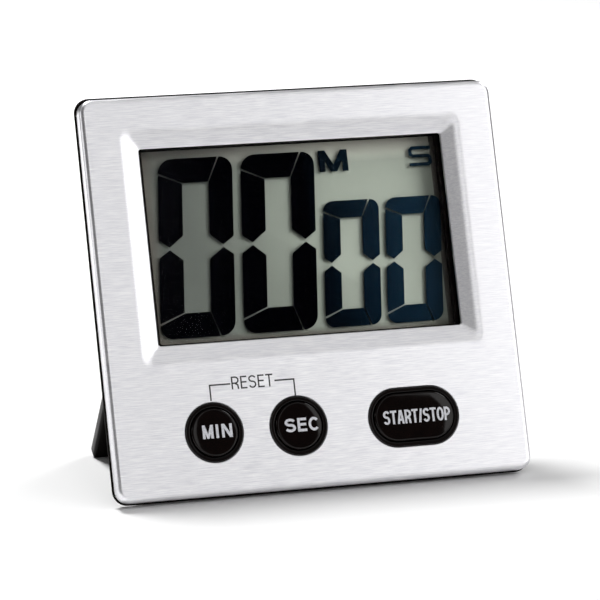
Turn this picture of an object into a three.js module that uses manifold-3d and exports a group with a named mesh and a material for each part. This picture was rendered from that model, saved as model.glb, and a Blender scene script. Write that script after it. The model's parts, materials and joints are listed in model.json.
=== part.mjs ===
// Digital kitchen timer: a pressed steel fascia on a black two-part case, a liquid crystal
// display, three keys, a coin cell behind a twist door, two magnets and a fold-out stand.
//
// Units are millimetres. Every piece is drawn with the case upright and facing +Z: x to the
// right, y up the fascia, and "depth" the distance behind the front of the fascia. The whole
// timer is then leaned back onto its open stand, and the origin is put on the table under the
// middle of its box, with +Z up and the fascia facing -Y.

import * as THREE from "three";
import { mergeVertices } from "three/addons/utils/BufferGeometryUtils.js";
import Module from "manifold-3d";

const wasm = await Module();
wasm.setup();

// ---------------------------------------------------------------- driving dimensions

const degrees = Math.PI / 180;

const GAP = 0.3; // clearance between neighbouring pieces
const LEAN = 20.4 * degrees; // lean of the fascia from upright
const STAND_OPEN = 52.4 * degrees; // stand's angle from its folded place, at its stop
const ARC_STEPS = 2; // half the number of facets in a rounded corner
const ROUND_STEPS = 12; // half the number of facets in a full circle

// Pressed steel front panel, and the bevel pressed into it around the window
const FASCIA = { width: 80, height: 74.3, corner: 2.5, sheet: 0.5, wrap: 2.8, bend: 0.8 };
const WINDOW = { halfWidth: 29.4, halfHeight: 18.3, corner: 0.5, y: 9.16, depth: 1.1 };
const BEVEL = { halfWidth: 32.65, halfHeight: 21.7, corner: 1.6, y: 9.1 };

// Black front housing
const FLANGE = { proud: 0.25, front: 3.1, back: 4.3 };
const WEB = { front: 0.8, back: 2.8 };
const COLLAR = { radius: 5.54, wall: 0.85, proud: 0.25 };

// Keys: centre, and half length of the straight part of a long key
const KEY_Y = -25.7;
const KEYS = {
  min: { x: -20.9, straight: 0 },
  sec: { x: -4.8, straight: 0 },
  start_stop: { x: 17.6, straight: 3.34 },
};
const CAP = { radius: 4.45, crown: 0.55, shoulder: 0.1, flange: 5.8, flangeFront: 3.2, back: 4.0 };

// Rear case
const CASE = { halfWidth: 36.6, halfHeight: 34.5, corner: 2.2, wall: 1.5, front: 4.6 };
const STEP_Y = -3.8; // the case is thick above this height, and thin below it
const THICK = 14.0; // depth of the rear face above the step
const THIN = 11.2; // depth of the rear face below the step, where the stand folds away

// Display stack, by depth
const LENS = { halfWidth: 31.0, low: -10.7, high: 29.0, front: 1.95, back: 2.95 };
const POLARISER = { front: 4.95, back: 5.1 };
const FRONT_GLASS = { front: 5.2, back: 5.85 };
const REAR_GLASS = { front: 6.05, back: 6.7 };
const REFLECTOR = { front: 6.8, back: 6.95 };
const GLASS = { halfWidth: 30.8, low: -11.2, ledgeLow: -14.2, high: 28.2 };

// Circuit board and what it carries
const BOARD = { halfWidth: 29.5, low: -32.6, high: -11.4, front: 7.7, back: 8.7 };
const BOARD_SCREW = { x: 27.3, y: -17.2 };
const PARTS_Y = -18.4; // row of components between the keys and the display

// Coin cell, its cup in the rear case and its door
const CELL = { radius: 10, front: 9.55, back: 12.75, y: 14.5 };
const CUP = { radius: 13.9, bore: 10.35, front: 8.3, floor: 9.2 };
const DOOR = { radius: 11, lug: 12.4, lugFront: 12.75, lugBack: 13.15, front: 13.0 };
const LUG_SPAN = 22 * degrees;
const LUG_TURN = 40 * degrees; // turn from locked to the entry notches
const LUG_ANGLES = [90, 210, 330].map((angle) => angle * degrees);

// Buzzer, magnets and case screws
const BUZZER = { x: -24.5, y: 11.5, radius: 7.5, front: 11.4, back: 11.6 };
const MAGNET = { x: 25, y: 27, radius: 4, front: 11.7 };
const CASE_SCREW = { x: 32.6, y: 30.6, head: 2.0, headHeight: 1.2, shank: 0.85 };

// Fold-out stand, measured from its hinge axis
const STAND = { axisY: -5.7, axisDepth: 12.7, halfWidth: 34.2, footHalfWidth: 35, thick: 2.4 };
const HEEL = 1.6; // how far the stand goes past its axis, to meet its stop
const PIN_RADIUS = 0.8;

// ---------------------------------------------------------------- materials

function material(color, roughness, metalness = 0) {
  return new THREE.MeshStandardMaterial({ color, roughness, metalness });
}

const steel = material(0xd9d9dd, 0.35, 1);
const blackPlastic = material(0x14110f, 0.5);
const glossBlack = material(0x0c0a09, 0.18);
const clear = material(0xe8eef0, 0.05);
const film = material(0x8b8f88, 0.3);
const reflectorSilver = material(0xaab0aa, 0.55, 0.3);
const blackRubber = material(0x17171a, 0.8);
const greyRubber = material(0x8f9294, 0.75);
const greenBoard = material(0x1f5a34, 0.5);
const epoxy = material(0x101012, 0.3);
const tin = material(0xc4c6c8, 0.3, 1);
const brass = material(0xc9a24a, 0.35, 1);
const ceramic = material(0xe6e2d6, 0.6);
const ferrite = material(0x3a3a3d, 0.6);
const redWire = material(0xb01818, 0.5);
const blackWire = material(0x18181a, 0.5);

// ---------------------------------------------------------------- solids

function solidOf(geometry) {
  const bare = geometry.clone();
  bare.deleteAttribute("normal");
  bare.deleteAttribute("uv");
  const merged = mergeVertices(bare, 1e-4);
  const vertProperties = Float32Array.from(merged.attributes.position.array);
  const triVerts = Uint32Array.from(merged.index.array);
  return new wasm.Manifold(new wasm.Mesh({ numProp: 3, vertProperties, triVerts }));
}

function geometryOf(solid) {
  const { vertProperties, triVerts } = solid.getMesh();
  const geometry = new THREE.BufferGeometry();
  geometry.setAttribute("position", new THREE.Float32BufferAttribute(vertProperties, 3));
  geometry.setIndex(Array.from(triVerts));
  geometry.computeVertexNormals();
  return geometry;
}

function fuse(...pieces) {
  return geometryOf(pieces.map(solidOf).reduce((a, b) => a.add(b)));
}

function cut(base, ...tools) {
  return geometryOf(tools.map(solidOf).reduce((a, b) => a.subtract(b), solidOf(base)));
}

function common(a, b) {
  return geometryOf(solidOf(a).intersect(solidOf(b)));
}

// ---------------------------------------------------------------- outlines

function roundedRect(halfWidth, low, high, radius, x = 0) {
  const right = x + halfWidth - radius;
  const left = x - halfWidth + radius;
  const top = high - radius;
  const bottom = low + radius;
  const shape = new THREE.Shape();
  shape.moveTo(x + halfWidth, bottom);
  shape.absarc(right, top, radius, 0, Math.PI / 2);
  shape.absarc(left, top, radius, Math.PI / 2, Math.PI);
  shape.absarc(left, bottom, radius, Math.PI, 1.5 * Math.PI);
  shape.absarc(right, bottom, radius, 1.5 * Math.PI, 2 * Math.PI);
  return shape;
}

function disc(radius, x = 0, y = 0) {
  return new THREE.Shape().absarc(x, y, radius, 0, 2 * Math.PI);
}

// A key's outline: round, or with straight sides between two round ends
function keyOutline(key, radius) {
  if (key.straight === 0) {
    return disc(radius, key.x, KEY_Y);
  }
  const shape = new THREE.Shape();
  shape.absarc(key.x + key.straight, KEY_Y, radius, -Math.PI / 2, Math.PI / 2);
  shape.absarc(key.x - key.straight, KEY_Y, radius, Math.PI / 2, 1.5 * Math.PI);
  return shape;
}

// A piece of a ring around (0, y), as wide as span and centred on angle
function sector(inner, outer, angle, span, y) {
  const from = angle - span / 2;
  const to = angle + span / 2;
  const shape = new THREE.Shape();
  shape.absarc(0, y, outer, from, to);
  shape.absarc(0, y, inner, to, from, true);
  return shape;
}

// ---------------------------------------------------------------- shapes from outlines

// A plate of the outline, between two depths
function slab(shape, front, back, steps = ARC_STEPS) {
  const options = { depth: back - front, bevelEnabled: false, curveSegments: steps };
  return new THREE.ExtrudeGeometry(shape, options).translate(0, 0, -back);
}

function post(radius, x, y, front, back) {
  return slab(disc(radius, x, y), front, back, ROUND_STEPS / 2);
}

// A bar along x with the given (depth, y) section
function bar(section, fromX, toX, steps = ARC_STEPS) {
  const options = { depth: toX - fromX, bevelEnabled: false, curveSegments: steps };
  return new THREE.ExtrudeGeometry(section, options).rotateY(Math.PI / 2).translate(fromX, 0, 0);
}

// A solid of revolution about a depth axis at (x, y), from points [radius, depth]
function turned(points, x, y, sides = 2 * ROUND_STEPS) {
  const profile = points.map(([radius, depth]) => new THREE.Vector2(radius, -depth)).reverse();
  return new THREE.LatheGeometry(profile, sides).rotateX(Math.PI / 2).translate(x, y, 0);
}

// A closed frame through rounded rectangles, each joined to the next and the last to the first
function framedLoft(sections) {
  const stepsPerCorner = 2 * ARC_STEPS;
  const around = 4 * (stepsPerCorner + 1);
  const positions = [];
  for (const { halfWidth, halfHeight, corner, y = 0, depth } of sections) {
    for (let quarter = 0; quarter < 4; quarter += 1) {
      const signX = quarter === 0 || quarter === 3 ? 1 : -1;
      const signY = quarter < 2 ? 1 : -1;
      for (let step = 0; step <= stepsPerCorner; step += 1) {
        const angle = (quarter + step / stepsPerCorner) * (Math.PI / 2);
        positions.push(signX * (halfWidth - corner) + corner * Math.cos(angle));
        positions.push(y + signY * (halfHeight - corner) + corner * Math.sin(angle));
        positions.push(-depth);
      }
    }
  }
  const index = [];
  for (let section = 0; section < sections.length; section += 1) {
    const here = section * around;
    const next = ((section + 1) % sections.length) * around;
    for (let point = 0; point < around; point += 1) {
      const beside = (point + 1) % around;
      index.push(here + point, here + beside, next + beside);
      index.push(here + point, next + beside, next + point);
    }
  }
  const geometry = new THREE.BufferGeometry();
  geometry.setAttribute("position", new THREE.Float32BufferAttribute(positions, 3));
  geometry.setIndex(index);
  return geometry;
}

// ---------------------------------------------------------------- front of the case

function steelFascia() {
  const { sheet, wrap, bend, corner } = FASCIA;
  const wide = FASCIA.width / 2;
  const tall = FASCIA.height / 2;
  const inset = (amount, depth) => ({
    halfWidth: wide - amount,
    halfHeight: tall - amount,
    corner: Math.max(corner - amount, 0.9),
    depth,
  });
  const halfBend = bend * (1 - Math.SQRT1_2);
  const panel = framedLoft([
    inset(0, wrap),
    inset(0, bend),
    inset(halfBend, halfBend),
    inset(bend, 0),
    { ...BEVEL, depth: 0 },
    { ...WINDOW },
    { ...WINDOW, depth: WINDOW.depth + sheet },
    { ...BEVEL, depth: sheet },
    inset(bend, sheet),
    inset(sheet, bend),
    inset(sheet, wrap),
  ]);
  const holes = Object.values(KEYS).map((key) =>
    slab(keyOutline(key, COLLAR.radius + GAP), -1, wrap, ROUND_STEPS / 2),
  );
  return cut(panel, ...holes);
}

function frontHousing() {
  const inside = FASCIA.sheet + GAP;
  const coreHalfWidth = FASCIA.width / 2 - inside;
  const coreHalfHeight = FASCIA.height / 2 - inside;
  const core = slab(
    roundedRect(coreHalfWidth, -coreHalfHeight, coreHalfHeight, 1.7),
    WEB.front,
    FLANGE.back,
  );
  const flangeHalfWidth = FASCIA.width / 2 + FLANGE.proud;
  const flangeHalfHeight = FASCIA.height / 2 + FLANGE.proud;
  const flange = slab(
    roundedRect(flangeHalfWidth, -flangeHalfHeight, flangeHalfHeight, 2.75),
    FLANGE.front,
    FLANGE.back,
  );
  const hollowWidth = CASE.halfWidth - 1.2;
  const hollowHeight = CASE.halfHeight - 1.3;
  const hollow = slab(roundedRect(hollowWidth, -hollowHeight, hollowHeight, 1), WEB.back, 5);
  const shell = cut(fuse(core, flange), hollow);

  const well = slab(roundedRect(32.8, -15.8, 30.6, 1.2), 1.9, 7.2);
  const collars = Object.values(KEYS).map((key) =>
    slab(keyOutline(key, COLLAR.radius), -COLLAR.proud, WEB.back, ROUND_STEPS / 2),
  );
  const bosses = caseScrewPlaces().map(({ x, y }) =>
    post(2.1, x, y, WEB.front + 0.5, y > 0 ? 9.0 : 7.5),
  );
  const boardBosses = [-1, 1].map((side) =>
    post(2.0, side * BOARD_SCREW.x, BOARD_SCREW.y, WEB.front + 0.5, BOARD.front - GAP),
  );
  const body = fuse(shell, well, ...collars, ...bosses, ...boardBosses);

  const lensSeat = slab(
    roundedRect(LENS.halfWidth + GAP, LENS.low - GAP, LENS.high + GAP, 0.8),
    1.0,
    LENS.back + 0.2,
  );
  const bevelSeat = slab(roundedRect(33.3, -13.3, 31.5, 1.5), 0, 1.9);
  const sight = slab(roundedRect(29.6, -9.34, 27.66, 0.5), 0, 5);
  const displayPocket = slab(
    roundedRect(GLASS.halfWidth + 0.4, GLASS.ledgeLow - 0.4, GLASS.high + 0.4, 0.4),
    4.7,
    8,
  );
  const keyBores = Object.values(KEYS).map((key) =>
    slab(keyOutline(key, COLLAR.radius - COLLAR.wall), -1, 4, ROUND_STEPS / 2),
  );
  const pilots = caseScrewPlaces().map(({ x, y }) => post(1.05, x, y, 3.2, 10));
  const boardPilots = [-1, 1].map((side) =>
    post(1.05, side * BOARD_SCREW.x, BOARD_SCREW.y, 3.2, 8),
  );
  return cut(
    body,
    lensSeat,
    bevelSeat,
    sight,
    displayPocket,
    ...keyBores,
    ...pilots,
    ...boardPilots,
  );
}

// ---------------------------------------------------------------- rear case

function caseScrewPlaces() {
  const { x, y } = CASE_SCREW;
  return [
    { x: -x, y },
    { x, y },
    { x: -x, y: -y },
    { x, y: -y },
  ];
}

// Depth of the floor that a case screw's head sits on
function screwSeat(y) {
  return y > 0 ? 11.3 : 9.3;
}

function hingeEar(side) {
  const ear = new THREE.Shape();
  ear.moveTo(THIN - 1, STEP_Y + 1);
  ear.lineTo(THIN - 1, STAND.axisY - 2.4);
  ear.lineTo(THIN, STAND.axisY - 2.4);
  ear.quadraticCurveTo(THICK, STAND.axisY - 2.2, THICK, STAND.axisY);
  ear.lineTo(THICK, STEP_Y + 1);
  const from = STAND.halfWidth + GAP;
  const [left, right] = side > 0 ? [from, CASE.halfWidth] : [-CASE.halfWidth, -from];
  return bar(ear, left, right);
}

function batteryCupCuts() {
  const y = CELL.y;
  const notches = LUG_ANGLES.map((angle) =>
    slab(sector(DOOR.radius, DOOR.lug + GAP, angle + LUG_TURN, LUG_SPAN * 1.2, y), 12.6, 15),
  );
  return [
    slab(disc(CUP.bore, 0, y), CUP.floor, 15, ROUND_STEPS),
    slab(disc(DOOR.lug + GAP, 0, y), DOOR.lugFront - 0.25, DOOR.lugBack + GAP, ROUND_STEPS),
    slab(disc(DOOR.radius + GAP, 0, y), DOOR.lugFront - 0.25, 15, ROUND_STEPS),
    ...notches,
    slab(roundedRect(2.1, y - 15, y - 8, 0.2), CUP.floor, 9.8), // slot for the negative tail
    slab(roundedRect(1.6, y - 3, y + 3, 0.2, 11.0), CUP.floor, 12.5), // pocket for the side leaf
    slab(roundedRect(2.0, y - 1.4, y + 1.4, 0.2, 13.0), CUP.floor, 9.9), // its way out
  ];
}

function soundHoles() {
  const ring = [0, 1, 2, 3, 4, 5].map((i) => {
    const angle = i * 60 * degrees;
    return [BUZZER.x + 3.2 * Math.cos(angle), BUZZER.y + 3.2 * Math.sin(angle)];
  });
  return [[BUZZER.x, BUZZER.y], ...ring].map(([x, y]) =>
    slab(disc(0.8, x, y), 12, THICK + 1, 4),
  );
}

function rearCase() {
  const { halfWidth, halfHeight, corner, wall, front } = CASE;
  const outside = fuse(
    slab(roundedRect(halfWidth, STEP_Y, halfHeight, 0.6), front, THICK),
    slab(roundedRect(halfWidth, -halfHeight, halfHeight, corner), front, THIN),
  );
  const rounded = common(
    outside,
    slab(roundedRect(halfWidth, -halfHeight, halfHeight, corner), 0, THICK + 1),
  );
  const inner = halfWidth - wall;
  const innerTop = halfHeight - wall;
  const stepInside = STEP_Y + wall;
  const shell = cut(
    rounded,
    slab(roundedRect(inner, stepInside, innerTop, 1), 0, THICK - wall),
    slab(roundedRect(inner, -innerTop, innerTop, 1), 0, THIN - wall),
  );
  const posts = caseScrewPlaces().map(({ x, y }) =>
    post(2.6, x, y, y > 0 ? 9.3 : 7.8, screwSeat(y) + 0.6),
  );
  const magnetSeats = [-1, 1].map((side) =>
    post(MAGNET.radius + 1.1, side * MAGNET.x, MAGNET.y, 10.6, THICK - 1),
  );
  const cup = post(CUP.radius, 0, CELL.y, CUP.front, THICK - 1);
  const buzzerRing = cut(
    post(BUZZER.radius - 0.1, BUZZER.x, BUZZER.y, BUZZER.back + GAP, THICK - 1),
    post(BUZZER.radius - 1.5, BUZZER.x, BUZZER.y, 0, THICK - wall),
  );
  const filled = fuse(
    shell,
    cup,
    buzzerRing,
    hingeEar(-1),
    hingeEar(1),
    ...posts,
    ...magnetSeats,
  );

  const screwHoles = caseScrewPlaces().flatMap(({ x, y }) => [
    post(1.15, x, y, 5, 15),
    post(CASE_SCREW.head + 0.3, x, y, screwSeat(y), 15),
  ]);
  const magnetHoles = [-1, 1].map((side) =>
    post(MAGNET.radius + 0.15, side * MAGNET.x, MAGNET.y, MAGNET.front - 0.15, 15),
  );
  const pinHoles = [-1, 1].map((side) => {
    const [from, to] = side > 0 ? [33, 36.1] : [-36.1, -33];
    return bar(disc(PIN_RADIUS + 0.06, STAND.axisDepth, STAND.axisY), from, to, ROUND_STEPS / 2);
  });
  const heelGroove = bar(
    roundedRect(1.05, STAND.axisY - 1.6, STEP_Y, 0.2, 11.65),
    -(STAND.halfWidth + GAP),
    STAND.halfWidth + GAP,
  );
  return cut(
    filled,
    ...screwHoles,
    ...magnetHoles,
    ...pinHoles,
    heelGroove,
    ...batteryCupCuts(),
    ...soundHoles(),
  );
}

// ---------------------------------------------------------------- display

function displaySheet({ front, back }) {
  return slab(roundedRect(GLASS.halfWidth - 0.6, GLASS.low + 0.3, GLASS.high - 0.4, 0.3), front, back);
}

function displayRetainer() {
  const plate = slab(roundedRect(30.2, -11.0, 29.8, 0.8), 7.5, 8.0);
  const rib = slab(roundedRect(29.8, -10.8, 27.9, 0.8), REFLECTOR.back + GAP, 7.6);
  const opening = slab(roundedRect(25, -6, 23, 1.5), 0, 9);
  return cut(fuse(plate, rib), opening);
}

// ---------------------------------------------------------------- keys

function keyCap(key) {
  const { radius, crown, shoulder, flange, flangeFront, back } = CAP;
  if (key.straight === 0) {
    const profile = [
      [0, -crown],
      [0.55 * radius, -crown + 0.07],
      [0.88 * radius, -shoulder - 0.15],
      [0.98 * radius, shoulder],
      [radius, 0.5],
      [radius, flangeFront],
      [flange, flangeFront],
      [flange, back],
      [0, back],
    ];
    return turned(profile, key.x, KEY_Y);
  }
  const stem = slab(keyOutline(key, radius), 0.3, back, ROUND_STEPS / 2);
  const shoulderPlate = slab(keyOutline(key, 0.97 * radius), -0.1, 0.5, ROUND_STEPS / 2);
  const crownPlate = slab(keyOutline(key, 0.86 * radius), -crown, 0.5, ROUND_STEPS / 2);
  const foot = slab(keyOutline(key, flange), flangeFront, back, ROUND_STEPS / 2);
  return fuse(stem, shoulderPlate, crownPlate, foot);
}

function keyDome(key) {
  const front = CAP.back + GAP;
  const back = BOARD.front - GAP;
  if (key.straight === 0) {
    const profile = [
      [0, front],
      [2.4, front],
      [4.4, back - 0.7],
      [4.4, back],
      [3.6, back],
      [1.8, front + 1.2],
      [0, front + 1.2],
    ];
    return turned(profile, key.x, KEY_Y, ROUND_STEPS);
  }
  const crown = slab(keyOutline(key, 2.6), front, front + 1.6, ROUND_STEPS / 2);
  const skirt = slab(keyOutline(key, 4.4), front + 1.5, back, ROUND_STEPS / 2);
  const hollow = slab(keyOutline(key, 3.4), front + 2.3, back + 1, ROUND_STEPS / 2);
  return cut(fuse(crown, skirt), hollow);
}

// ---------------------------------------------------------------- circuit board

function circuitBoard() {
  const { halfWidth, low, high, front, back } = BOARD;
  const holes = [-1, 1].map((side) => post(1.15, side * BOARD_SCREW.x, BOARD_SCREW.y, 7, 10));
  return cut(slab(roundedRect(halfWidth, low, high, 0.8), front, back), ...holes);
}

function chipBlob() {
  const base = BOARD.front - GAP;
  const profile = [
    [0, base - 1.2],
    [1.0, base - 1.1],
    [1.8, base - 0.75],
    [2.2, base],
    [0, base],
  ];
  return turned(profile, -12.6, PARTS_Y, ROUND_STEPS);
}

function crystalCan() {
  const can = new THREE.CylinderGeometry(1, 1, 6, 12);
  return can.rotateZ(Math.PI / 2).translate(0, PARTS_Y, -(BOARD.front - GAP - 1));
}

function chipCapacitor(x) {
  const height = 0.8;
  const body = new THREE.BoxGeometry(1.6, 1.0, height);
  return body.translate(x, PARTS_Y, -(BOARD.front - GAP - height / 2));
}

// ---------------------------------------------------------------- screws and wires

// A cross-head screw, its head seated at seatDepth and its tip towards the front
function screw(x, y, seatDepth, length, head, headHeight, shank) {
  const tipDepth = seatDepth - length;
  const profile = [
    [0, tipDepth],
    [0.5 * shank, tipDepth + 0.1],
    [shank, tipDepth + 0.9],
    [shank, seatDepth + 0.1],
    [head, seatDepth + 0.1],
    [head, seatDepth + 0.6 * headHeight],
    [0.7 * head, seatDepth + headHeight],
    [0, seatDepth + headHeight],
  ];
  const blank = turned(profile, x, y, 12);
  const slotDepth = seatDepth + 0.55 * headHeight;
  const across = slab(roundedRect(0.6 * head, y - 0.2, y + 0.2, 0.05, x), slotDepth, 15, 1);
  const upright = slab(roundedRect(0.2, y - 0.6 * head, y + 0.6 * head, 0.05, x), slotDepth, 15, 1);
  return cut(blank, across, upright);
}

function wire(points, radius = 0.3) {
  const route = points.map(([x, y, depth]) => new THREE.Vector3(x, y, -depth));
  const section = new THREE.Shape();
  for (let side = 0; side < 8; side += 1) {
    const angle = side * 45 * degrees;
    const [u, v] = [radius * Math.cos(angle), radius * Math.sin(angle)];
    if (side === 0) {
      section.moveTo(u, v);
    } else {
      section.lineTo(u, v);
    }
  }
  const extrudePath = new THREE.CatmullRomCurve3(route);
  return new THREE.ExtrudeGeometry(section, { steps: 14, extrudePath });
}

// ---------------------------------------------------------------- battery

function coinCell() {
  const { radius, front, back, y } = CELL;
  const profile = [
    [0, front],
    [radius - 1.4, front],
    [radius - 1.3, front + 0.25],
    [radius - 0.3, front + 0.4],
    [radius, front + 0.8],
    [radius, back - 0.2],
    [radius - 0.2, back],
    [0, back],
  ];
  return turned(profile, 0, y);
}

function negativeContact() {
  const leaf = slab(roundedRect(1.8, CELL.y - 14.6, CELL.y + 1, 0.3), 9.27, 9.42);
  return fuse(leaf, slab(disc(3.6, 0, CELL.y + 1), 9.27, 9.42, 5));
}

function positiveContact() {
  const y = CELL.y;
  const leaf = slab(roundedRect(0.125, y - 2.6, y + 2.6, 0.05, 10.45), 9.35, 12.2, 1);
  const foot = slab(roundedRect(2.2, y - 1.0, y + 1.0, 0.1, 12.55), 9.35, 9.6, 1);
  return fuse(leaf, foot);
}

function batteryDoor() {
  const y = CELL.y;
  const cover = slab(disc(DOOR.radius, 0, y), DOOR.front, THICK, ROUND_STEPS);
  const lugs = LUG_ANGLES.map((angle) =>
    slab(sector(10.4, DOOR.lug, angle, LUG_SPAN, y), DOOR.lugFront, DOOR.lugBack),
  );
  const coinSlot = slab(roundedRect(6.5, y - 0.9, y + 0.9, 0.8), THICK - 0.65, 15);
  return cut(fuse(cover, ...lugs), coinSlot);
}

// ---------------------------------------------------------------- stand

// Height of a point of the upright case above its middle, once the case leans back
function leanedHeight(y, depth) {
  return y * Math.cos(LEAN) - depth * Math.sin(LEAN);
}

// Length from the hinge axis to the stand's front foot edge, so that it stands on the table
function standLength() {
  const table = leanedHeight(-(FASCIA.height / 2 + FLANGE.proud), FLANGE.back);
  const drop = leanedHeight(STAND.axisY, STAND.axisDepth) - table;
  const tilt = STAND_OPEN - LEAN;
  return (drop - (STAND.thick / 2) * Math.sin(tilt)) / Math.cos(tilt);
}

// The stand hangs from its axis at the origin, along -y, with its outer face towards -z
function stand() {
  const length = standLength();
  const half = STAND.thick / 2;
  const footFlat = 0.7; // how much further the foot's flat runs down, towards the outer face
  const footRadius = 1.5;
  const outline = new THREE.Shape();
  outline.moveTo(STAND.halfWidth, HEEL);
  outline.lineTo(-STAND.halfWidth, HEEL);
  outline.lineTo(-STAND.halfWidth, 0);
  outline.lineTo(-STAND.footHalfWidth, footRadius - length);
  outline.quadraticCurveTo(-STAND.footHalfWidth, -length, footRadius - STAND.footHalfWidth, -length);
  outline.lineTo(footRadius - STAND.footHalfWidth, -length - 2);
  outline.lineTo(STAND.footHalfWidth - footRadius, -length - 2);
  outline.lineTo(STAND.footHalfWidth - footRadius, -length);
  outline.quadraticCurveTo(STAND.footHalfWidth, -length, STAND.footHalfWidth, footRadius - length);
  outline.lineTo(STAND.halfWidth, 0);

  const flatWidth = footFlat / Math.tan(STAND_OPEN - LEAN);
  const side = new THREE.Shape();
  side.moveTo(-half, HEEL);
  side.lineTo(-half, -length);
  side.lineTo(-half + flatWidth, -length - footFlat);
  side.quadraticCurveTo(half, -length - footFlat, half, -length + 0.8);
  side.lineTo(half, 0);
  side.absarc(half - HEEL, 0, HEEL, 0, Math.PI / 2);
  const blade = common(slab(outline, -half, half), bar(side, -40, 40));
  const pins = bar(disc(PIN_RADIUS), -35.9, 35.9, ROUND_STEPS / 2);
  return fuse(blade, pins);
}

// ---------------------------------------------------------------- assembly

const timer = new THREE.Group();
const leaning = new THREE.Group();
leaning.rotation.x = Math.PI / 2 - LEAN;
timer.add(leaning);

function add(name, geometry, finish, parent = leaning) {
  const mesh = new THREE.Mesh(geometry, finish);
  mesh.name = name;
  parent.add(mesh);
}

add("steel_fascia", steelFascia(), steel);
add("front_housing", frontHousing(), blackPlastic);
add("rear_case", rearCase(), blackPlastic);

add(
  "display_lens",
  slab(roundedRect(LENS.halfWidth, LENS.low, LENS.high, 0.8), LENS.front, LENS.back),
  clear,
);
add("lcd_front_polariser", displaySheet(POLARISER), film);
add(
  "lcd_front_glass",
  slab(
    roundedRect(GLASS.halfWidth, GLASS.ledgeLow, GLASS.high, 0.2),
    FRONT_GLASS.front,
    FRONT_GLASS.back,
  ),
  clear,
);
add(
  "lcd_rear_glass",
  slab(roundedRect(GLASS.halfWidth, GLASS.low, GLASS.high, 0.2), REAR_GLASS.front, REAR_GLASS.back),
  clear,
);
add("lcd_reflector", displaySheet(REFLECTOR), reflectorSilver);
add("lcd_retainer", displayRetainer(), blackPlastic);
add(
  "zebra_strip",
  slab(roundedRect(26, -13.9, -11.7, 0.2), FRONT_GLASS.back + GAP, BOARD.front - GAP),
  greyRubber,
);

for (const [name, key] of Object.entries(KEYS)) {
  add(`${name}_key`, keyCap(key), glossBlack);
  add(`${name}_dome`, keyDome(key), blackRubber);
}

add("circuit_board", circuitBoard(), greenBoard);
add("chip_blob", chipBlob(), epoxy);
add("crystal", crystalCan(), tin);
add("capacitor_left", chipCapacitor(6), ceramic);
add("capacitor_right", chipCapacitor(9.4), ceramic);
for (const [name, side] of [["left", -1], ["right", 1]]) {
  const seat = BOARD.back + 0.05;
  add(
    `board_screw_${name}`,
    screw(side * BOARD_SCREW.x, BOARD_SCREW.y, seat, 4.2, 1.7, 0.7, 0.8),
    tin,
  );
}

add(
  "buzzer_plate",
  slab(disc(BUZZER.radius, BUZZER.x, BUZZER.y), BUZZER.front, BUZZER.back, ROUND_STEPS),
  brass,
);
add(
  "buzzer_ceramic",
  slab(disc(5.2, BUZZER.x, BUZZER.y), BUZZER.front - 0.3, BUZZER.front - 0.1, ROUND_STEPS / 2),
  ceramic,
);
add(
  "buzzer_wire_red",
  wire([[-23.5, 9, 10.6], [-21.5, 4, 10.2], [-20, -3, 9.2], [-19.5, -9, 9.2], [-19.5, -14, 9.2]]),
  redWire,
);
add(
  "buzzer_wire_black",
  wire([[-27, 5.6, 10.9], [-25.5, 1.5, 10.2], [-24, -4, 9.2], [-23, -9, 9.2], [-23, -14, 9.2]]),
  blackWire,
);

add("coin_cell", coinCell(), tin);
add("negative_contact", negativeContact(), tin);
add("positive_contact", positiveContact(), tin);
add(
  "battery_wire_black",
  wire([[0, -0.6, 9.35], [-0.6, -5, 9.2], [-1.5, -10, 9.2], [-1.5, -14, 9.2]]),
  blackWire,
);
add(
  "battery_wire_red",
  wire([[15.2, 14.5, 9.5], [17.5, 10, 9.5], [15, 0, 9.3], [7, -6, 9.2], [4, -10, 9.2], [4, -14, 9.2]]),
  redWire,
);
add("battery_door", batteryDoor(), blackPlastic);

for (const [name, side] of [["left", -1], ["right", 1]]) {
  add(
    `magnet_${name}`,
    post(MAGNET.radius, side * MAGNET.x, MAGNET.y, MAGNET.front, THICK - 0.1),
    ferrite,
  );
}

caseScrewPlaces().forEach(({ x, y }, i) => {
  const { head, headHeight, shank } = CASE_SCREW;
  add(`case_screw_${i + 1}`, screw(x, y, screwSeat(y), 5.6, head, headHeight, shank), tin);
});

const hinge = new THREE.Group();
hinge.position.set(0, STAND.axisY, -STAND.axisDepth);
hinge.rotation.x = STAND_OPEN;
leaning.add(hinge);
add("stand", stand(), blackPlastic, hinge);

// Put the origin on the table under the middle of the whole timer
timer.updateMatrixWorld(true);
const box = new THREE.Box3().setFromObject(timer, true);
const middle = box.getCenter(new THREE.Vector3());
timer.position.set(-middle.x, -middle.y, -box.min.z);
timer.updateMatrixWorld(true);

export default timer;
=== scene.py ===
import json
import math

import bmesh
import bpy
from mathutils import Matrix, Vector


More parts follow.
